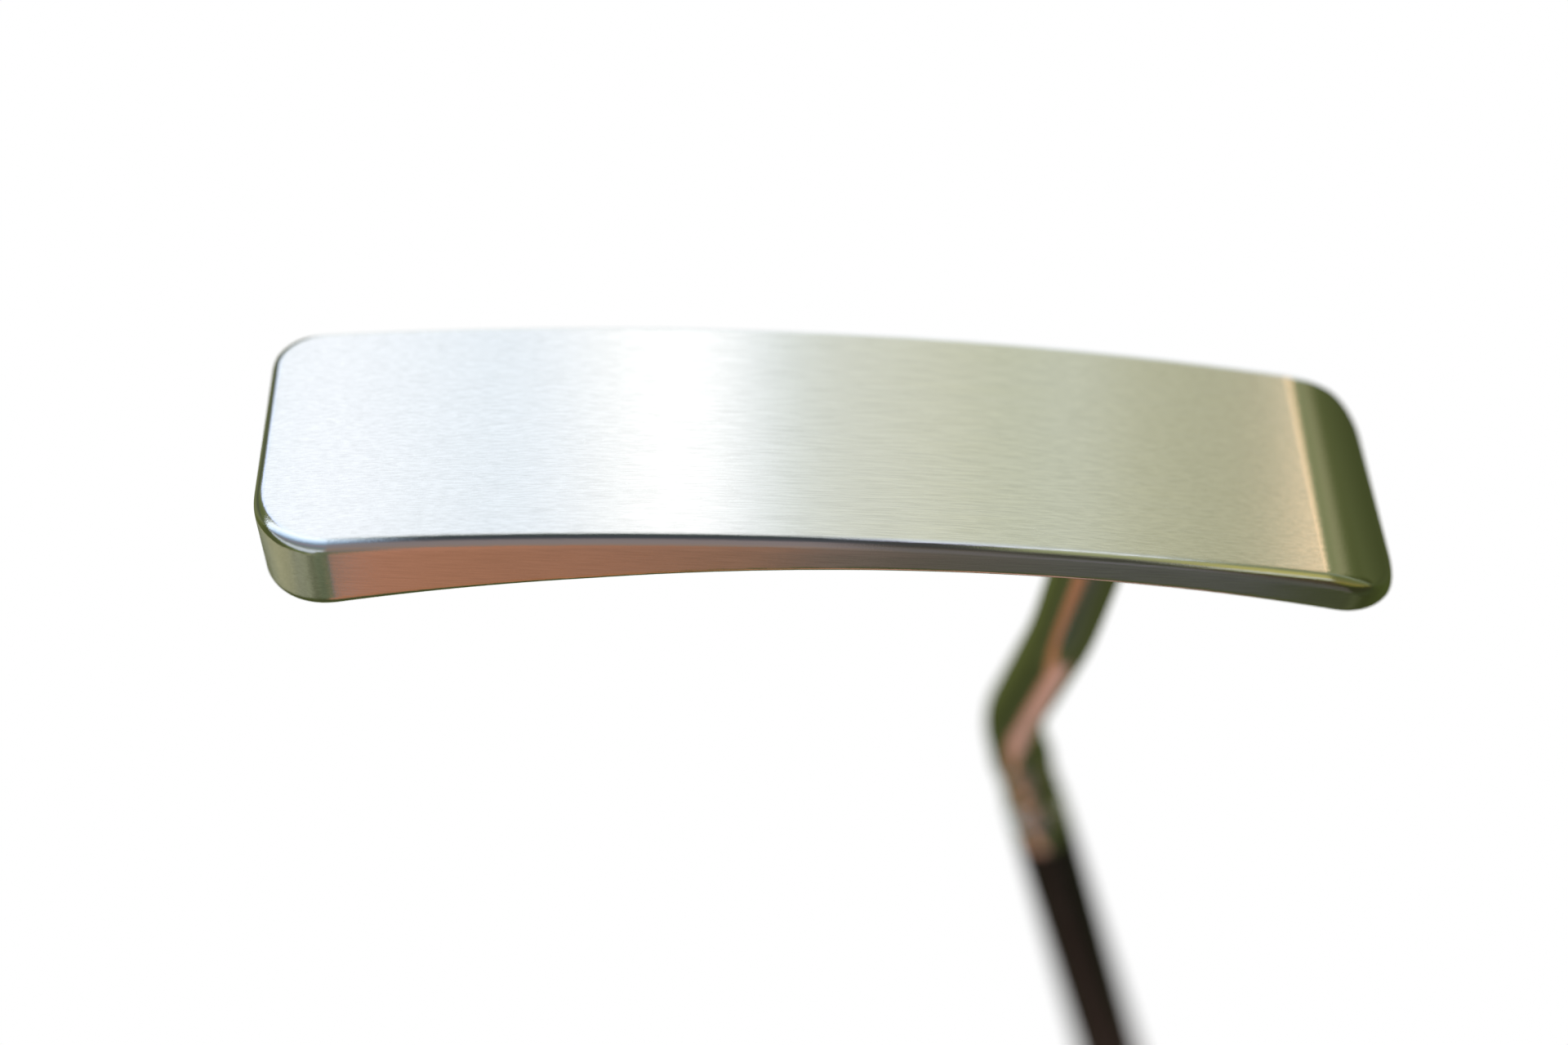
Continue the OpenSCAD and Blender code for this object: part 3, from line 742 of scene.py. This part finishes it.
def build_cards():
    """Coloured cards behind, above and beside the club: the back wall and the neck mirror them."""
    build_card("card_behind", 0.10, [
        (192, -126, 88), (184, -126, 88), (134, -126, 87), (128.5, -126, 86),
    ], [
        (-126, 66, 69, 54), (-120, 76, 77, 71), (-75, 80, 80, 74), (-45, 85, 80, 72),
        (-18, 107, 93, 84), (-3, 131, 100, 82), (30, 146, 105, 84), (60, 156, 110, 86),
        (84, 162, 114, 92), (88, 168, 120, 98),
    ])
    build_card("card_above", 0.15, [
        (128.5, -24, 86), (126, 4, 100), (122, 20, 112), (117, 4, 92), (110, -40, 60),
        (104, -90, 8), (99, -122, -18), (96, -118, -34), (92, -114, -56), (86, -114, -84),
        (81, -112, -104),
    ], [
        (-125, 140, 110, 92), (-100, 158, 128, 116), (-80, 176, 138, 126), (-55, 186, 140, 124),
        (-30, 174, 127, 102), (-10, 160, 113, 80), (20, 156, 105, 72), (86, 160, 111, 84),
    ])
    build_card("card_toe", 0.32, [
        (176, 90, 150), (140, 90, 160), (131, 92, 180), (129, 100, 200), (124, 135, 220),
        (119, 158, 240), (110, 180, 262), (95, 205, 262), (85, 208, 262), (76, 200, 262),
        (69, 185, 250), (62, 165, 230), (57, 140, 205), (48, 95, 170),
    ], [
        (90, 112, 114, 108), (95, 98, 101, 78), (130, 94, 102, 80), (148, 106, 110, 86),
        (172, 127, 129, 106), (206, 138, 140, 118), (225, 144, 143, 114), (238, 156, 153, 120),
        (262, 150, 148, 118),
    ])


def build_stage():
    """A pale floor, which the steel doesn't mirror, and two soft lamps."""
    floor_z, half = -0.45, 20.0
    mesh = bpy.data.meshes.new("floor")
    corners = [(-half, -half, floor_z), (half, -half, floor_z), (half, half, floor_z), (-half, half, floor_z)]
    mesh.from_pydata(corners, [], [(0, 1, 2, 3)])
    material, tree, shader = new_material("floor_pale", (0.86, 0.86, 0.85, 1.0), 0.8)
    point, _ = place_mm(tree)
    tone = noise(tree, point, 0.004, (1, 1, 1), 3.0)
    tint = mix_colour(tree, tone, (0.84, 0.84, 0.83, 1), (0.88, 0.88, 0.87, 1))
    tree.links.new(tint, shader.inputs["Base Color"])
    mesh.materials.append(material)
    floor = bpy.data.objects.new("floor", mesh)
    bpy.context.scene.collection.objects.link(floor)
    floor.visible_glossy = False

    lamps = (("soft_key", (0.5, -0.9, 0.9), 9.0), ("soft_fill", (-0.9, -0.3, 0.2), 4.0))
    for name, spot, power in lamps:
        lamp = bpy.data.lights.new(name, "AREA")
        lamp.size = 0.9
        lamp.energy = power
        holder = bpy.data.objects.new(name, lamp)
        holder.location = spot
        holder.rotation_euler = (Vector((0, 0, 0.1)) - Vector(spot)).to_track_quat("-Z", "Y").to_euler()
        holder.visible_glossy = False
        bpy.context.scene.collection.objects.link(holder)


def build_camera():
    """From below and behind, upside down, as the club is held sole up in front of the lens."""
    pitch, yaw, roll = math.radians(50), math.radians(-7.4), math.radians(7.83)
    distance, right_mm, up_mm = 155.8, -6.78, 2.30
    aim = Vector((0, -HALF_DEPTH, 0))
    look = Vector((math.sin(yaw) * math.cos(pitch), math.cos(yaw) * math.cos(pitch), math.sin(pitch)))
    level = -look.cross(Vector((0, 0, 1))).normalized()
    rise = (-look).cross(level)
    right = level * math.cos(roll) + rise * math.sin(roll)
    up = rise * math.cos(roll) - level * math.sin(roll)
    spot = aim - look * distance + right * right_mm + up * up_mm
    lens = bpy.data.cameras.new("camera")
    lens.sensor_width = 36.0
    lens.lens = 38.05
    lens.clip_start = 0.01
    lens.clip_end = 50.0
    camera = bpy.data.objects.new("camera", lens)
    camera.matrix_world = Matrix((
        (right.x, up.x, -look.x, spot.x / MM),
        (right.y, up.y, -look.y, spot.y / MM),
        (right.z, up.z, -look.z, spot.z / MM),
        (0, 0, 0, 1),
    ))
    focus = bpy.data.objects.new("focus", None)
    focus.location = Vector((0, -HALF_DEPTH + 5, 0)) / MM
    lens.dof.use_dof = True
    lens.dof.focus_object = focus
    lens.dof.aperture_fstop = 5.2
    for holder in (camera, focus):
        bpy.context.scene.collection.objects.link(holder)
    bpy.context.scene.camera = camera


build_world()
build_cards()
build_stage()
build_camera()
bpy.context.scene.view_settings.view_transform = "Standard"
bpy.context.scene.view_settings.look = "None"
